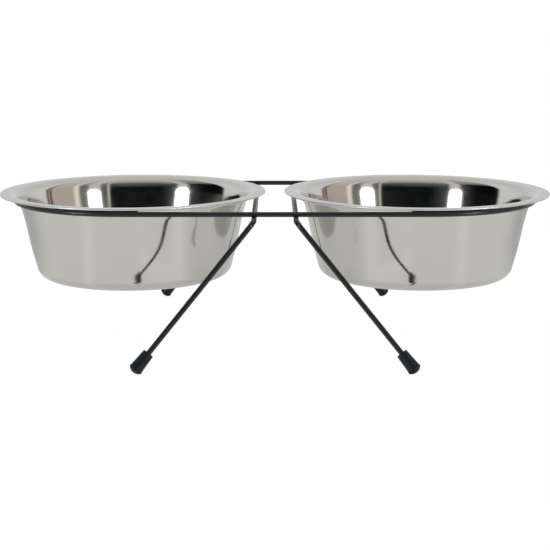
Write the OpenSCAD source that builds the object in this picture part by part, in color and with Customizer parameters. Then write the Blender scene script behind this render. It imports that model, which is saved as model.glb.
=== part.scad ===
// Raised double pet bowl: two pressed steel bowls in a welded wire stand with rubber feet.
// Lengths are in millimetres. X runs from bowl to bowl, Y to the back and Z up from the floor.

/* [Bowls] */
// Outer diameter of a bowl over its rolled edge
rim_d = 240; // [200:1:300]
// Height of a bowl from its base to the top of its flange
bowl_h = 77.3; // [60:0.1:100]
// Thickness of the pressed sheet
sheet_t = 0.7; // [0.5:0.05:1]
// Diameter of the rolled edge round the rim
roll_d = 1.4; // [1.2:0.1:2.4]
// Width of the flat flange, from the rim to the start of the shoulder
flange_w = 8.5; // [6:0.5:14]
// Radius of the shoulder between flange and wall, on its inner face
shoulder_r = 9.5; // [8:0.5:14]
// Lean of the wall from the vertical, in degrees
wall_lean = 13; // [6:0.5:22]
// Radius of the corner between wall and base, on its outer face
base_corner_r = 12; // [5:0.5:16]
// Width of the flat ring that the base stands on, round its raised panel
base_ring_w = 17.2; // [8:0.2:24]
// Height of that panel above the ring
panel_rise = 1; // [0.5:0.1:2]
// Width of the sloping step round the panel
panel_step_w = 3; // [2:0.5:6]

/* [Stand] */
// Height of the flanges above the floor
rim_height = 131; // [110:1:170]
// Gap between the rims of the two bowls
rim_gap = 17.3; // [8:0.1:40]
// Diameter of the loop's wire
loop_wire_d = 4.3; // [3:0.1:5]
// Diameter of the wire that the crossbars and legs are bent from
leg_wire_d = 4.5; // [3:0.1:5]
// Gap between a crossbar and the wall of the bowl beside it
bar_gap = 6.6; // [3:0.2:10]
// Shortest straight run of a crossbar between a rail and the bend down to a leg
bar_run = 7.5; // [2:0.5:15]
// Radius of that bend, on the middle of the wire
leg_bend_r = 8; // [5:0.5:12]
// Distance from the middle of the stand to each foot, along the length
foot_x = 111.5; // [80:0.5:150]
// Distance from the middle of the stand to each foot, to the front and back
foot_y = 152; // [125:0.5:180]

/* [Foot caps] */
// Diameter of a cap at its mouth
cap_mouth_d = 9.5; // [8:0.1:10.5]
// Diameter of a cap just above its lip
cap_low_d = 11.2; // [10.5:0.1:14]
// How far the lip round the sole stands out from the cap
cap_lip_w = 0.3; // [0.3:0.1:1.2]
// Thickness of the lip
cap_lip_t = 1.2; // [0.8:0.1:2]
// Length of a cap from its mouth to its lip's lower edge
cap_l = 17; // [12:0.5:24]
// Height of the domed sole below the lip
dome_h = 3.1; // [1.5:0.1:3.5]
// Radius of the rounded edge at the mouth
mouth_edge_r = 0.6; // [0.3:0.1:1]
// Thickness of rubber between the wire's end and the lip's lower edge
sole_t = 4.5; // [2:0.5:6]

/* [Fit] */
// Gap between a bowl's shoulder and the wire that it rests on
seat_gap = 0.3; // [0.2:0.05:0.5]
// Where the wire bears on the shoulder, in degrees down from the flange
seat_angle = 62; // [50:1:68]
// Depth to which the weld sets the rails into the crossbars
weld_depth = 0.4; // [0.2:0.1:0.8]
// Clearance all round the wire in a cap's socket
socket_gap = 0.05; // [0:0.01:0.1]
// Height by which a sole is flattened where it stands on the floor
sole_flat = 0.4; // [0.3:0.05:0.6]

/* [Hidden] */
$fn = 96;

steel_colour = [0.80, 0.80, 0.78];
wire_colour = [0.10, 0.11, 0.12];
rubber_colour = [0.13, 0.14, 0.15];

// Sides of the stand: left and right along X, front and back along Y
LEFT = -1;
RIGHT = 1;
FRONT = -1;
BACK = 1;

// Overrun of every cut beyond the face that it opens
overrun = 1;
// How far a straight run of wire reaches into a bend, and the bend's extra radius round it
bend_lap = 0.1;
bend_swell = 0.01;
// Flats that make up each arc of a bowl's section, and the small round at a cap's mouth
arc_steps = 18;
edge_steps = 5;

// Bowl section, with the radius along x and the height above the floor along y
rim_r = rim_d / 2;
roll_r = roll_d / 2;
bowl_x = rim_r + rim_gap / 2;
base_z = rim_height - bowl_h;
wall_in = [-cos(wall_lean), sin(wall_lean)];
wall_down = [-sin(wall_lean), -cos(wall_lean)];
shoulder_c = [rim_r - flange_w, rim_height - shoulder_r];
wall_top = shoulder_c + (shoulder_r - sheet_t) * wall_in;
wall_l = (wall_top.y - base_z - base_corner_r * (1 - wall_in.y)) / cos(wall_lean);
wall_foot = wall_top + wall_l * wall_down;
corner_c = wall_foot + base_corner_r * wall_in;

// Loop: its wire lies in the hollow of the shoulder, one seat gap away
seat_r = shoulder_r - sheet_t - seat_gap - loop_wire_d / 2;
loop_r = shoulder_c.x - seat_r * sin(seat_angle);
rail_z = shoulder_c.y + seat_r * cos(seat_angle);

// Leg frames: a crossbar hangs under the rails, sunk into them by the weld
bar_z = rail_z - loop_wire_d / 2 - leg_wire_d / 2 + weld_depth;
wall_r_at_bar = wall_top.x - (wall_top.y - bar_z) * tan(wall_lean);
bar_x = bowl_x - wall_r_at_bar - bar_gap - leg_wire_d / 2;
corner_y = loop_r + bar_run + leg_bend_r;

// Caps: the sole is part of a ball, and a leg's axis runs through the ball's middle
lip_r = cap_low_d / 2 + cap_lip_w;
dome_r = (lip_r * lip_r + dome_h * dome_h) / (2 * dome_h);
lip_z = dome_h - dome_r;
mouth_z = lip_z + cap_l;
socket_z = lip_z + sole_t;

function unit(v) = v / norm(v);

function bar_corner(side, end) = [side * bar_x, end * corner_y, bar_z];
function sole_ball(side, end) = [side * foot_x, end * foot_y, dome_r - sole_flat];
function leg_up(side, end) = unit(bar_corner(side, end) - sole_ball(side, end));
function leg_end(side, end) =
    sole_ball(side, end) + (socket_z + socket_gap) * leg_up(side, end);

// Half the turn that a wire makes between two directions
function half_turn(before, after) = acos(before * after) / 2;

// Points on an arc in a section, from one angle to another
function arc(centre, r, from, to, steps) = [
    for (i = [0 : steps])
        centre + r * [cos(from + (to - from) * i / steps), sin(from + (to - from) * i / steps)]
];

// Stands what is drawn along +Z on a point, along a direction
module along(start, direction) {
    translate(start)
        rotate([0, acos(direction.z), atan2(direction.y, direction.x)])
            children();
}

module rod(start, end, d) {
    along(start, unit(end - start))
        cylinder(h = norm(end - start), d = d);
}

// One bend of a wire, at the corner where two straight runs would meet
module elbow(corner, before, after, d, bend_r) {
    half = half_turn(before, after);
    centre = corner + unit(after - before) * bend_r / cos(half);
    out = unit(corner - before * bend_r * tan(half) - centre);
    normal = unit(cross(before, after));
    multmatrix([
        [out.x, before.x, normal.x, centre.x],
        [out.y, before.y, normal.y, centre.y],
        [out.z, before.z, normal.z, centre.z]
    ])
        rotate_extrude(angle = 2 * half)
            translate([bend_r, 0])
                circle(d = d);
}

// A wire along a path of straight runs, with the same bend at every inner corner.
// A bend swells by a hair, and each run ends just inside it.
module bent_wire(path, d, bend_r) {
    last = len(path) - 1;
    way = [for (i = [0 : last - 1]) unit(path[i + 1] - path[i])];
    cut_back = [
        for (i = [0 : last])
            i == 0 || i == last ? 0 : bend_r * tan(half_turn(way[i - 1], way[i])) - bend_lap
    ];
    for (i = [0 : last - 1])
        rod(path[i] + way[i] * cut_back[i], path[i + 1] - way[i] * cut_back[i + 1], d);
    for (i = [1 : last - 1])
        elbow(path[i], way[i - 1], way[i], d + 2 * bend_swell, bend_r);
}

// The sheet of a bowl in section: out over the inner face, round the rolled edge, back below
module bowl_section() {
    panel_r = corner_c.x - base_ring_w;
    panel_z = base_z + panel_rise;
    arc_end = 180 - wall_lean;
    polygon(concat(
        [[0, panel_z + sheet_t], [panel_r - panel_step_w, panel_z + sheet_t]],
        [[panel_r, base_z + sheet_t]],
        arc(corner_c, base_corner_r - sheet_t, -90, -wall_lean, arc_steps),
        arc(shoulder_c, shoulder_r, arc_end, 90, arc_steps),
        arc([rim_r - roll_r, rim_height - roll_r], roll_r, 90, -180, arc_steps),
        arc(shoulder_c, shoulder_r - sheet_t, 90, arc_end, arc_steps),
        arc(corner_c, base_corner_r, -wall_lean, -90, arc_steps),
        [[panel_r, base_z], [panel_r - panel_step_w, panel_z], [0, panel_z]]
    ));
}

module bowl(side) {
    translate([side * bowl_x, 0, 0])
        rotate_extrude()
            bowl_section();
}

// Right half of the loop: two half rails and the half-round end that joins them
module half_loop() {
    for (end = [FRONT, BACK])
        translate([0, end * loop_r, rail_z])
            rotate([0, 90, 0])
                cylinder(h = bowl_x, d = loop_wire_d);
    translate([bowl_x, 0, rail_z])
        rotate([0, 0, -90])
            rotate_extrude(angle = 180)
                translate([loop_r, 0])
                    circle(d = loop_wire_d);
}

module wire_loop() {
    half_loop();
    mirror([1, 0, 0])
        half_loop();
}

// Crossbar and legs in one wire, notched where the welds set the rails into it
module leg_frame(side) {
    path = [
        leg_end(side, FRONT),
        bar_corner(side, FRONT),
        bar_corner(side, BACK),
        leg_end(side, BACK)
    ];
    difference() {
        bent_wire(path, leg_wire_d, leg_bend_r);
        wire_loop();
    }
}

// A cap in section, with the wire's axis along y and the middle of the sole's ball at zero
module cap_section() {
    mouth_r = cap_mouth_d / 2;
    edge_c = [mouth_r - mouth_edge_r, mouth_z - mouth_edge_r];
    lip_top = lip_z + cap_lip_t;
    intersection() {
        circle(r = dome_r);
        translate([0, -dome_r])
            square([lip_r, dome_r + lip_top]);
    }
    polygon(concat(
        [[0, lip_top - cap_lip_t / 2], [cap_low_d / 2, lip_top - cap_lip_t / 2]],
        [[cap_low_d / 2, lip_top]],
        arc(edge_c, mouth_edge_r, 0, 90, edge_steps),
        [[0, mouth_z]]
    ));
}

// The revolve starts and ends on the side away from the floor
module foot_cap(side, end) {
    ball = sole_ball(side, end);
    difference() {
        along(ball, leg_up(side, end))
            difference() {
                rotate([0, 0, 180])
                    rotate_extrude()
                        cap_section();
                translate([0, 0, socket_z])
                    cylinder(h = cap_l - sole_t + overrun, d = leg_wire_d + 2 * socket_gap);
            }
        translate([ball.x, ball.y, -cap_l])
            cube(2 * cap_l, center = true);
    }
}

module rail_loop() {
    color(wire_colour) wire_loop();
}

module left_leg_frame() {
    color(wire_colour) leg_frame(LEFT);
}

module right_leg_frame() {
    color(wire_colour) leg_frame(RIGHT);
}

module front_left_foot_cap() {
    color(rubber_colour) foot_cap(LEFT, FRONT);
}

module front_right_foot_cap() {
    color(rubber_colour) foot_cap(RIGHT, FRONT);
}

module rear_left_foot_cap() {
    color(rubber_colour) foot_cap(LEFT, BACK);
}

module rear_right_foot_cap() {
    color(rubber_colour) foot_cap(RIGHT, BACK);
}

module left_bowl() {
    color(steel_colour) bowl(LEFT);
}

module right_bowl() {
    color(steel_colour) bowl(RIGHT);
}

rail_loop();
left_leg_frame();
right_leg_frame();
front_left_foot_cap();
front_right_foot_cap();
rear_left_foot_cap();
rear_right_foot_cap();
left_bowl();
right_bowl();
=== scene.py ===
"""Looks of the raised double pet bowl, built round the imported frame. Lengths are in metres."""
import math

import bpy
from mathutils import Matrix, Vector

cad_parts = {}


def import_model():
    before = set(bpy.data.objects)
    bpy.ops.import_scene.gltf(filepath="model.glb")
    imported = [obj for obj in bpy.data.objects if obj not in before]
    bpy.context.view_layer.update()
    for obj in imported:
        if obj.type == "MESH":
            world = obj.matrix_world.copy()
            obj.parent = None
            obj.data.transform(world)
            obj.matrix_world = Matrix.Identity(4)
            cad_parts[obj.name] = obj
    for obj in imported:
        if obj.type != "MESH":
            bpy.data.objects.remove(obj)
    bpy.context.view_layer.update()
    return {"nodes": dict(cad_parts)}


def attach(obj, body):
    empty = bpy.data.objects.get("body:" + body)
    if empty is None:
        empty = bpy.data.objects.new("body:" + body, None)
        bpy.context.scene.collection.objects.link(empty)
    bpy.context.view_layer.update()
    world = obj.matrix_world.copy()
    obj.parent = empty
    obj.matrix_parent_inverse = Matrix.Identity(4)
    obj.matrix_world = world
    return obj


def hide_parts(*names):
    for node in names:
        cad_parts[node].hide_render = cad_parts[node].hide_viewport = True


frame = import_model()

MM = 0.001

# ---------------------------------------------------------------- sizes, as in the part's source
RIM_R = 120 * MM
RIM_Z = 131 * MM
BOWL_H = 77.3 * MM
BOWL_X = 128.65 * MM
SHEET_T = 0.7 * MM
ROLL_R = 0.7 * MM
FLANGE_W = 8.5 * MM
SHOULDER_R = 9.5 * MM
WALL_LEAN = math.radians(13)
BASE_R = 12 * MM
RING_W = 17.2 * MM
PANEL_RISE = 1 * MM
STEP_W = 3 * MM
FOOT_X = 111.5 * MM
SIDES = (("left", -1), ("right", 1))

# ---------------------------------------------------------------- what only the finer pressing has
WALL_WAVE = math.radians(2.6)   # the most that the wave turns the outer wall
WAVE_FADE = 6                   # steps in which the wave comes in and dies out
EASE_TURN = math.radians(4)     # bend of the inner wall below the shoulder
EASE_L = 7 * MM
RING_MARGIN = 1.5 * MM          # flat left between the ring and the base's corner
CURL_END = -176                 # degrees to which the rolled edge curls back
CURL_GAP = 0.3 * MM             # from the curl to the flange's flat underside

SEGMENTS = 280
WALL_STEPS = 60
EASE_STEPS = 20
PANEL_STEPS = 12
CORNER_STEPS = 40
SHOULDER_STEPS_IN, SHOULDER_STEPS_OUT = 60, 48
EDGE_STEPS, CURL_STEPS = 32, 14


# ---------------------------------------------------------------- node helpers
class Nodes:
    """A few short calls for building a node tree."""

    def __init__(self, tree):
        self.tree = tree
        tree.nodes.clear()

    def new(self, kind, **values):
        node = self.tree.nodes.new(kind)
        for name, value in values.items():
            setattr(node, name, value)
        return node

    def link(self, out, into):
        self.tree.links.new(out, into)

    def place(self, kind="Object"):
        return self.new("ShaderNodeTexCoord").outputs[kind]

    def split(self, vector):
        node = self.new("ShaderNodeSeparateXYZ")
        self.link(vector, node.inputs[0])
        return node.outputs

    def math(self, operation, a, b=None, clamp=False):
        node = self.new("ShaderNodeMath", operation=operation, use_clamp=clamp)
        for socket, value in zip(node.inputs, (a, b)):
            if value is None:
                continue
            if isinstance(value, (int, float)):
                socket.default_value = value
            else:
                self.link(value, socket)
        return node.outputs[0]

    def plus(self, a, b, clamp=False):
        return self.math("ADD", a, b, clamp)

    def minus(self, a, b):
        return self.math("SUBTRACT", a, b)

    def times(self, a, b):
        return self.math("MULTIPLY", a, b)

    def apart(self, a, b):
        return self.math("ABSOLUTE", self.minus(a, b))

    def hypot(self, a, b):
        return self.math("SQRT", self.plus(self.times(a, a), self.times(b, b)))

    def remap(self, value, low, high, to_low=0.0, to_high=1.0, smooth=False):
        node = self.new("ShaderNodeMapRange", clamp=True)
        node.interpolation_type = "SMOOTHSTEP" if smooth else "LINEAR"
        self.link(value, node.inputs["Value"])
        ends = {"From Min": low, "From Max": high, "To Min": to_low, "To Max": to_high}
        for name, number in ends.items():
            node.inputs[name].default_value = number
        return node.outputs[0]

    def noise(self, vector, scale, detail=2.0, roughness=0.5):
        node = self.new("ShaderNodeTexNoise")
        node.inputs["Scale"].default_value = scale
        node.inputs["Detail"].default_value = detail
        node.inputs["Roughness"].default_value = roughness
        self.link(vector, node.inputs["Vector"])
        return node.outputs["Fac"]

    def bump(self, height, distance, strength, normal=None):
        node = self.new("ShaderNodeBump")
        node.inputs["Strength"].default_value = strength
        node.inputs["Distance"].default_value = distance
        self.link(height, node.inputs["Height"])
        if normal is not None:
            self.link(normal, node.inputs["Normal"])
        return node.outputs[0]

    def mix(self, fac, a, b):
        node = self.new("ShaderNodeMix", data_type="RGBA")
        self.link(fac, node.inputs["Factor"])
        for name, value in (("A", a), ("B", b)):
            socket = [s for s in node.inputs if s.name == name and s.type == "RGBA"][0]
            if isinstance(value, tuple):
                socket.default_value = (*value, 1)
            else:
                self.link(value, socket)
        return [s for s in node.outputs if s.type == "RGBA"][0]


def material(name):
    made = bpy.data.materials.new(name)
    made.use_nodes = True
    return made, Nodes(made.node_tree)


def principled(n, **values):
    shader = n.new("ShaderNodeBsdfPrincipled")
    output = n.new("ShaderNodeOutputMaterial")
    n.link(shader.outputs[0], output.inputs["Surface"])
    for name, value in values.items():
        shader.inputs[name.replace("_", " ")].default_value = value
    return shader


# ---------------------------------------------------------------- materials
NOISE_SPAN, SMUDGE_SPAN = (0.3, 0.7), (0.3, 0.75)   # the part of a noise's values that is used
POLISHED, SMUDGED, SATIN = (0.67, 0.66, 0.64), (0.65, 0.64, 0.615), (0.725, 0.725, 0.715)
POLISH_ROUGH, SATIN_ROUGH = (0.075, 0.11), 0.24
SATIN_FROM, SATIN_FULL = 0.109, 0.113               # radii between which the flange turns satin
COAT_DARK, COAT_PALE, COAT_ROUGH = (0.005, 0.009, 0.012), (0.008, 0.0125, 0.0165), (0.22, 0.28)
CAP_DARK, CAP_PALE, CAP_ROUGH = (0.001, 0.0055, 0.0095), (0.004, 0.0095, 0.015), (0.32, 0.46)


def steel():
    """Polished stainless steel with faint rings from the polishing wheel, and a satin flange."""
    made, n = material("polished_steel")
    shader = principled(n, Metallic=1.0)
    place = n.place()
    x, y, z = n.split(place)
    radius = n.hypot(x, y)
    rings = n.new("ShaderNodeCombineXYZ")
    n.link(radius, rings.inputs[0])
    n.link(z, rings.inputs[2])
    lines = n.noise(rings.outputs[0], scale=900, detail=3, roughness=0.7)
    press = n.noise(place, scale=14, detail=1)
    smudge = n.noise(place, scale=55, detail=4, roughness=0.6)
    waves = n.bump(press, distance=0.35 * MM, strength=0.3)
    grooves = n.bump(lines, distance=0.0015 * MM, strength=0.35, normal=waves)
    n.link(grooves, shader.inputs["Normal"])
    satin = n.remap(radius, SATIN_FROM, SATIN_FULL, smooth=True)
    rough = n.remap(smudge, *SMUDGE_SPAN, *POLISH_ROUGH)
    n.link(n.plus(rough, n.times(satin, SATIN_ROUGH)), shader.inputs["Roughness"])
    n.link(n.mix(satin, n.mix(smudge, POLISHED, SMUDGED), SATIN), shader.inputs["Base Color"])
    return made


def powder_coat():
    """Black powder coat on the wire: satin, with a faint orange peel."""
    made, n = material("black_powder_coat")
    shader = principled(n, Specular_IOR_Level=0.5)
    place = n.place()
    peel = n.noise(place, scale=1500, detail=2)
    tone = n.noise(place, scale=90, detail=3)
    n.link(n.bump(peel, distance=0.012 * MM, strength=0.12), shader.inputs["Normal"])
    n.link(n.remap(tone, *NOISE_SPAN, *COAT_ROUGH), shader.inputs["Roughness"])
    n.link(n.mix(tone, COAT_DARK, COAT_PALE), shader.inputs["Base Color"])
    return made


def rubber():
    """Moulded black rubber of the foot caps: dull, with fine grain and paler rubbed spots."""
    made, n = material("black_rubber_moulding")
    shader = principled(n, Specular_IOR_Level=0.32)
    place = n.place()
    grain = n.noise(place, scale=2600, detail=3, roughness=0.6)
    wear = n.noise(place, scale=160, detail=4, roughness=0.6)
    n.link(n.bump(grain, distance=0.05 * MM, strength=0.5), shader.inputs["Normal"])
    n.link(n.remap(wear, *NOISE_SPAN, *CAP_ROUGH), shader.inputs["Roughness"])
    n.link(n.mix(wear, CAP_DARK, CAP_PALE), shader.inputs["Base Color"])
    return made


STEEL, COAT, RUBBER = steel(), powder_coat(), rubber()


# ---------------------------------------------------------------- bowls
def arc(centre, r, start, end, steps):
    """Points and outward normals on an arc of the section, angles in degrees."""
    rows = []
    for i in range(steps + 1):
        a = math.radians(start + (end - start) * i / steps)
        nr, nz = math.cos(a), math.sin(a)
        rows.append((centre[0] + r * nr, centre[1] + r * nz, nr, nz))
    return rows


def flip(rows):
    return [(r, z, -nr, -nz) for r, z, nr, nz in rows]


def wave_turns():
    """How far the wave turns the wall at each step. Its sum is 0, so the wall's ends stay put."""
    steps = range(WALL_STEPS + 1)
    fade = [min(1.0, i / WAVE_FADE, (WALL_STEPS - i) / WAVE_FADE) for i in steps]
    swing = [math.cos(math.tau * i / WALL_STEPS) for i in steps]
    level = -sum(f * c for f, c in zip(fade, swing)) / sum(fade)
    return [WALL_WAVE * f * (c + level) for f, c in zip(fade, swing)]


def bowl_section():
    """The sheet in section, from the axis over the inner face and the rolled edge back to the axis.

    Each row is a radius, a height and the surface's normal there."""
    base_z = RIM_Z - BOWL_H
    lean = math.degrees(WALL_LEAN)
    wall_in = Vector((-math.cos(WALL_LEAN), math.sin(WALL_LEAN)))
    shoulder = Vector((RIM_R - FLANGE_W, RIM_Z - SHOULDER_R))
    wall_top = shoulder + (SHOULDER_R - SHEET_T) * wall_in
    wall_l = (wall_top.y - base_z - BASE_R * (1 - wall_in.y)) / math.cos(WALL_LEAN)
    foot = wall_top + wall_l * Vector((-math.sin(WALL_LEAN), -math.cos(WALL_LEAN)))
    corner = foot + BASE_R * wall_in
    panel_r = corner.x - RING_W

    def wall():
        """The outer face from its foot up, with the shallow wave that the press leaves in it."""
        rows = []
        turns = wave_turns()
        along = Vector((math.sin(WALL_LEAN), math.cos(WALL_LEAN)))
        swell = 0.0
        for i in range(1, WALL_STEPS):
            swell += (turns[i - 1] + turns[i]) / 2 * wall_l / WALL_STEPS
            at = foot + i / WALL_STEPS * wall_l * along - swell * wall_in
            lean_here = WALL_LEAN + turns[i]
            rows.append((at.x, at.y, math.cos(lean_here), -math.sin(lean_here)))
        return rows

    def ease():
        """The inner face from the shoulder down, where it bends softly into its straight part."""
        rows = []
        lean_here = WALL_LEAN + EASE_TURN
        at = shoulder + SHOULDER_R * Vector((-math.cos(lean_here), math.sin(lean_here)))
        for _ in range(EASE_STEPS):
            lean_here -= EASE_TURN / EASE_STEPS
            down = Vector((math.sin(lean_here), math.cos(lean_here)))
            at = at - EASE_L / EASE_STEPS * down
            rows.append((at.x, at.y, -math.cos(lean_here), math.sin(lean_here)))
        return rows

    def base(z, up):
        """Panel, step and ring at one face of the sheet, rounded where they meet."""
        rows = [(0, z + PANEL_RISE, 0, up), (panel_r - 2 * STEP_W, z + PANEL_RISE, 0, up)]
        for i in range(PANEL_STEPS + 1):
            t = i / PANEL_STEPS
            share = 0.5 + 0.5 * math.cos(math.pi * t)
            slope = -0.5 * math.pi * math.sin(math.pi * t) * PANEL_RISE / STEP_W
            length = math.hypot(1, slope)
            rows.append((panel_r - STEP_W + STEP_W * t, z + PANEL_RISE * share,
                         -slope / length * up, up / length))
        rows.append((corner.x - RING_MARGIN, z, 0, up))
        return rows

    inner = base(base_z + SHEET_T, 1)
    inner += flip(arc(corner, BASE_R - SHEET_T, -90, -lean, CORNER_STEPS))
    inner += reversed(ease())
    inner += arc(shoulder, SHOULDER_R, 180 - lean - math.degrees(EASE_TURN), 90, SHOULDER_STEPS_IN)
    roll = (RIM_R - ROLL_R, RIM_Z - ROLL_R)
    edge = arc(roll, ROLL_R, 90, -90, EDGE_STEPS)
    curl = arc(roll, ROLL_R, -90, CURL_END, CURL_STEPS)[1:]
    under = [(RIM_R - 2 * ROLL_R - CURL_GAP, RIM_Z - SHEET_T, 0, -1)]
    outer = flip(arc(shoulder, SHOULDER_R - SHEET_T, 90, 180 - lean, SHOULDER_STEPS_OUT))
    outer += reversed(wall())
    outer += arc(corner, BASE_R, -lean, -90, CORNER_STEPS)
    outer += reversed(base(base_z, -1))
    return inner + edge + curl + under + outer


def bowl(name, side):
    """One pressed bowl, revolved finely enough to mirror the room without facets."""
    verts, normals, faces, rings = [], [], [], []
    for r, z, nr, nz in bowl_section():
        if r == 0:
            rings.append([len(verts)] * SEGMENTS)
            verts.append((0, 0, z))
            normals.append((0, 0, nz))
            continue
        rings.append(list(range(len(verts), len(verts) + SEGMENTS)))
        for k in range(SEGMENTS):
            a = math.tau * k / SEGMENTS
            verts.append((r * math.cos(a), r * math.sin(a), z))
            normals.append((nr * math.cos(a), nr * math.sin(a), nz))
    for low, high in zip(rings, rings[1:]):
        for k in range(SEGMENTS):
            m = (k + 1) % SEGMENTS
            quad = [low[k], high[k], high[m], low[m]]
            # At the axis two corners are one point, which is kept once.
            faces.append([v for i, v in enumerate(quad) if v != quad[i - 1]])
    mesh = bpy.data.meshes.new(name)
    mesh.from_pydata(verts, [], faces)
    mesh.validate()
    mesh.polygons.foreach_set("use_smooth", [True] * len(mesh.polygons))
    mesh.normals_split_custom_set_from_vertices(normals)
    mesh.materials.append(STEEL)
    made = bpy.data.objects.new(name, mesh)
    bpy.context.scene.collection.objects.link(made)
    made.location = (side * BOWL_X, 0, 0)
    return made


for word, side in SIDES:
    piece = bowl(f"{word}_bowl_pressing", side)
    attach(piece, f"{word}_dish")
    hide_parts(f"{word}_bowl")

for node, obj in frame["nodes"].items():
    if "bowl" in node:
        coat = STEEL
    elif "cap" in node:
        coat = RUBBER
    else:
        coat = COAT
    obj.data.materials.clear()
    obj.data.materials.append(coat)


# ---------------------------------------------------------------- floor
WHITE = (1.0, 1.0, 1.0)
FLOOR_HALF = 12.0
FLOOR_LIT = (0.82, 0.82, 0.82, 1)
FLOOR_GLOW = 1.04                                  # strength of the floor's own white
GLOW_SEEN, GLOW_MIRRORED = 0.93, 0.8               # its share for the camera and for mirrors
FLOOR_NEAR, FLOOR_FAR_SHADED = (0.78, 0.77, 0.745), (0.47, 0.485, 0.485)
BACK_Y, BACK_X = (-0.05, 0.22), (0.15, 0.38)       # where the painted shade of the far floor comes in
# painted shade on the mirrored floor, under each bowl and between the bowls
SHADE_UNDER_BOWL, SHADE_BETWEEN = 0.13, 0.13
UNDER_R = (0.17, 0.10)                             # from a bowl's axis: no shade, full shade
BETWEEN_X, BETWEEN_Y = (0.07, 0.01), (0.12, 0.05)
# painted gleams of the lamps on the mirrored floor
GLEAM, GLEAM_WIDE = 0.09, math.radians(10)
GLEAM_OUT, GLEAM_IN = math.radians(38), math.radians(46)
GLEAM_IN_X = (0.11, 0.07)
FOOT_SHADE, FOOT_SHADE_LEFT = 0.8, 0.3             # the left feet's shade is this share of it
FOOT_SHADOW_LINE = (0.006, 0.001)                         # half widths of the soft painted shadow line behind a foot
FOOT_START, FOOT_END = (0.105, 0.12), (0.175, 0.16)
FOOT_SIDES = (-0.1, 0.1)


def mirrored_floor(n):
    """The floor as the bowls mirror it, with painted shade: darker at the back, under and between
    the bowls and behind the feet, with painted gleams of the lamps in front."""
    x, y, z = n.split(n.place())
    aside = n.math("ABSOLUTE", x)
    front = n.times(y, -1.0)
    off = n.minus(aside, BOWL_X)

    # Painted shade under each bowl and between the two bowls.
    under = n.remap(n.hypot(off, y), *UNDER_R, smooth=True)
    light = n.minus(1.0, n.times(under, SHADE_UNDER_BOWL))
    between = n.times(n.remap(aside, *BETWEEN_X, 0.0, SHADE_BETWEEN, smooth=True),
                      n.remap(n.math("ABSOLUTE", y), *BETWEEN_Y, smooth=True))
    light = n.minus(light, between)

    # Painted gleams of the lamps at set angles from each bowl, the inner ones only near the middle.
    outer = n.apart(n.math("ARCTAN2", off, front), GLEAM_OUT)
    light = n.plus(light, n.remap(outer, GLEAM_WIDE, 0.0, 0.0, GLEAM, smooth=True))
    inner = n.apart(n.math("ARCTAN2", n.plus(aside, BOWL_X), front), GLEAM_IN)
    light = n.plus(light, n.times(n.remap(inner, GLEAM_WIDE, 0.0, 0.0, GLEAM, smooth=True),
                                  n.remap(aside, *GLEAM_IN_X, smooth=True)))

    # Painted shadow of each foot: a soft line on the floor behind it, fainter behind the left feet.
    foot = n.remap(n.apart(aside, FOOT_X), *FOOT_SHADOW_LINE, smooth=True)
    foot = n.times(foot, n.times(n.remap(front, *FOOT_START), n.remap(front, *FOOT_END)))
    foot = n.times(foot, n.remap(x, *FOOT_SIDES, FOOT_SHADE_LEFT * FOOT_SHADE, FOOT_SHADE))
    light = n.times(light, n.minus(1.0, foot))

    # Painted shade: the floor is darker and cooler towards the back, most at the outer sides.
    back = n.times(n.remap(y, *BACK_Y, smooth=True), n.remap(aside, *BACK_X, 0.5, 1.0))
    toned = n.new("ShaderNodeVectorMath", operation="SCALE")
    n.link(n.mix(back, FLOOR_NEAR, FLOOR_FAR_SHADED), toned.inputs[0])
    n.link(light, toned.inputs["Scale"])
    return toned.outputs[0]


def floor():
    """A plain white floor that keeps a soft shadow. Mirrors see it mostly as a painted grey floor.
    """
    mesh = bpy.data.meshes.new("floor")
    h = FLOOR_HALF
    mesh.from_pydata([(-h, -h, 0), (h, -h, 0), (h, h, 0), (-h, h, 0)], [], [(0, 1, 2, 3)])
    made, n = material("floor_white")
    lit = n.new("ShaderNodeBsdfDiffuse")
    lit.inputs["Color"].default_value = FLOOR_LIT
    glow = n.new("ShaderNodeEmission")
    glow.inputs["Strength"].default_value = FLOOR_GLOW
    ray = n.new("ShaderNodeLightPath").outputs
    mirrored = n.plus(ray["Is Glossy Ray"], ray["Is Transmission Ray"], clamp=True)
    share = n.plus(n.times(ray["Is Camera Ray"], GLOW_SEEN), n.times(mirrored, GLOW_MIRRORED),
                   clamp=True)
    n.link(n.mix(mirrored, WHITE, mirrored_floor(n)), glow.inputs["Color"])
    both = n.new("ShaderNodeMixShader")
    n.link(share, both.inputs[0])
    n.link(lit.outputs[0], both.inputs[1])
    n.link(glow.outputs[0], both.inputs[2])
    n.link(both.outputs[0], n.new("ShaderNodeOutputMaterial").inputs["Surface"])
    mesh.materials.append(made)
    obj = bpy.data.objects.new("floor", mesh)
    bpy.context.scene.collection.objects.link(obj)


# ---------------------------------------------------------------- world
BLACK, DUSK = (0.002, 0.003, 0.004), (0.035, 0.042, 0.042)
HAZE, GLOOM, GLOW = (0.18, 0.18, 0.165), (0.10, 0.12, 0.11), (0.62, 0.62, 0.58)
TAN, BOARD, CREAM = (0.56, 0.495, 0.44), (0.10, 0.035, 0.018), (1.0, 0.96, 0.87)
BACKDROP, SIDE, CEILING = (0.70, 0.70, 0.71), (0.79, 0.795, 0.79), (0.70, 0.68, 0.645)
SKIRT = (0.33, 0.33, 0.32)
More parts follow.
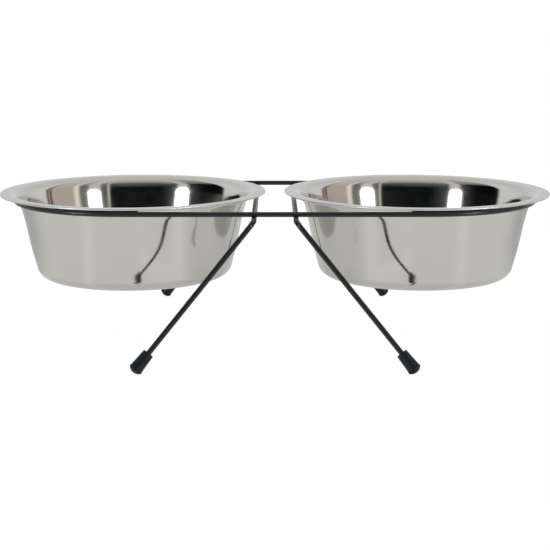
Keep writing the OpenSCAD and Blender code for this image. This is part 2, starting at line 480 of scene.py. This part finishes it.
# Walls of the room by the angle from straight behind the camera, positive to the left.
# A colour ramp holds 32 stops at most, and these are 32.
WALLS = (
    (-150, BACKDROP), (-125, SIDE), (-113, SIDE), (-112, BOARD), (-110, BOARD), (-109, TAN),
    (-108, TAN), (-107, BOARD), (-105, BOARD), (-104, TAN), (-76, TAN), (-73, CREAM), (-70, CREAM),
    (-67, HAZE), (-58, HAZE), (-56, GLOW), (-44, GLOW), (-42, GLOOM), (-36, GLOOM), (-34, CREAM),
    (-33, BLACK), (24, BLACK), (36, DUSK), (43, DUSK), (45, GLOW), (55, GLOW), (58, DUSK),
    (75, BLACK), (104, BLACK), (108, SIDE), (125, SIDE), (150, BACKDROP))
CEILING_FROM, CEILING_FULL, CEILING_CURVE = math.radians(23), math.radians(78), 0.6
DARK_SIDE_UP = math.radians(11)                    # how much higher the dark reaches at the left
DARK_SIDE = (math.radians(48), math.radians(75))
SKIRT_EDGE = (math.radians(10.2), math.radians(8.7))
SKIRT_SWAY = math.radians(5.9)                     # how much higher the skirt is straight in front
SKIRT_ROUND = (math.radians(125), math.radians(95))


def world():
    """The studio as the bowls mirror it: dark in front, tan boards at the right, pale sides and
    backdrop, a light ceiling, and a grey skirt low in the front half. The camera sees white."""
    made = bpy.data.worlds.new("studio")
    bpy.context.scene.world = made
    made.use_nodes = True
    n = Nodes(made.node_tree)
    x, y, z = n.split(n.place("Generated"))
    turn = n.math("ARCTAN2", n.times(x, -1.0), n.times(y, -1.0))
    height = n.math("ARCSINE", z)

    ramp = n.new("ShaderNodeValToRGB")
    n.link(n.remap(turn, -math.pi, math.pi), ramp.inputs[0])
    stops = ramp.color_ramp.elements
    while len(stops) < len(WALLS):
        stops.new(0.5)
    for stop, (angle, colour) in zip(stops, WALLS):
        stop.position = (angle + 180) / 360
        stop.color = (*colour, 1)

    rise = n.minus(height, n.remap(turn, *DARK_SIDE, 0.0, DARK_SIDE_UP, smooth=True))
    bright = n.math("POWER", n.remap(rise, CEILING_FROM, CEILING_FULL), CEILING_CURVE)
    line = n.minus(height, n.times(n.math("COSINE", turn), SKIRT_SWAY))
    skirt = n.times(n.remap(line, *SKIRT_EDGE), n.remap(n.math("ABSOLUTE", turn), *SKIRT_ROUND))
    room = n.mix(bright, n.mix(skirt, ramp.outputs[0], SKIRT), CEILING)
    ray = n.new("ShaderNodeLightPath").outputs
    back = n.new("ShaderNodeBackground")
    n.link(n.mix(ray["Is Camera Ray"], room, WHITE), back.inputs["Color"])
    n.link(back.outputs[0], n.new("ShaderNodeOutputWorld").inputs["Surface"])


# ---------------------------------------------------------------- lamps
LAMPS = (("softbox_left", -50), ("softbox_right", 50))   # angles from the camera's side
LAMP_ELEVATION = 11.5
LAMP_DISTANCE = 6.0
LAMP_WIDTH, LAMP_HEIGHT = 1.8, 1.9
LAMP_POWER = 140
LAMP_TARGET = Vector((0, 0, 0.1))
LAMP_ROUNDING = 3.0                                # power of the rounded outline's curve
LAMP_RIM, LAMP_FULL = 1.0, 0.1


def softbox(name, azimuth):
    """A lamp with a soft, rounded edge that faces the bowls."""
    a, e = math.radians(azimuth), math.radians(LAMP_ELEVATION)
    way = Vector((math.sin(a) * math.cos(e), -math.cos(a) * math.cos(e), math.sin(e)))
    at = way * LAMP_DISTANCE + LAMP_TARGET
    lamp = bpy.data.lights.new(name, "AREA")
    lamp.shape = "RECTANGLE"
    lamp.size, lamp.size_y = LAMP_WIDTH, LAMP_HEIGHT
    lamp.energy = LAMP_POWER
    lamp.use_nodes = True
    n = Nodes(lamp.node_tree)
    across = n.split(n.new("ShaderNodeNewGeometry").outputs["Parametric"])[:2]
    curves = [n.math("POWER", n.apart(n.times(part, 2.0), 1.0), LAMP_ROUNDING) for part in across]
    glow = n.new("ShaderNodeEmission")
    n.link(n.remap(n.plus(*curves), LAMP_RIM, LAMP_FULL, smooth=True), glow.inputs["Strength"])
    n.link(glow.outputs[0], n.new("ShaderNodeOutputLight").inputs["Surface"])
    obj = bpy.data.objects.new(name, lamp)
    bpy.context.scene.collection.objects.link(obj)
    obj.location = at
    obj.rotation_euler = (at - LAMP_TARGET).to_track_quat("Z", "Y").to_euler()


floor()
world()
for name, azimuth in LAMPS:
    softbox(name, azimuth)


# ---------------------------------------------------------------- camera
SENSOR, LENS = 36, 85.48
CAMERA_AT = (-0.0010, -1.1844, 0.2867)
CAMERA_PITCH, CAMERA_YAW = math.radians(11.204), math.radians(0.052)


def camera():
    data = bpy.data.cameras.new("camera")
    data.sensor_width = SENSOR
    data.lens = LENS
    obj = bpy.data.objects.new("camera", data)
    bpy.context.scene.collection.objects.link(obj)
    obj.location = CAMERA_AT
    obj.rotation_euler = (math.pi / 2 - CAMERA_PITCH, 0, -CAMERA_YAW)
    bpy.context.scene.camera = obj


camera()
bpy.context.scene.view_settings.view_transform = "Standard"
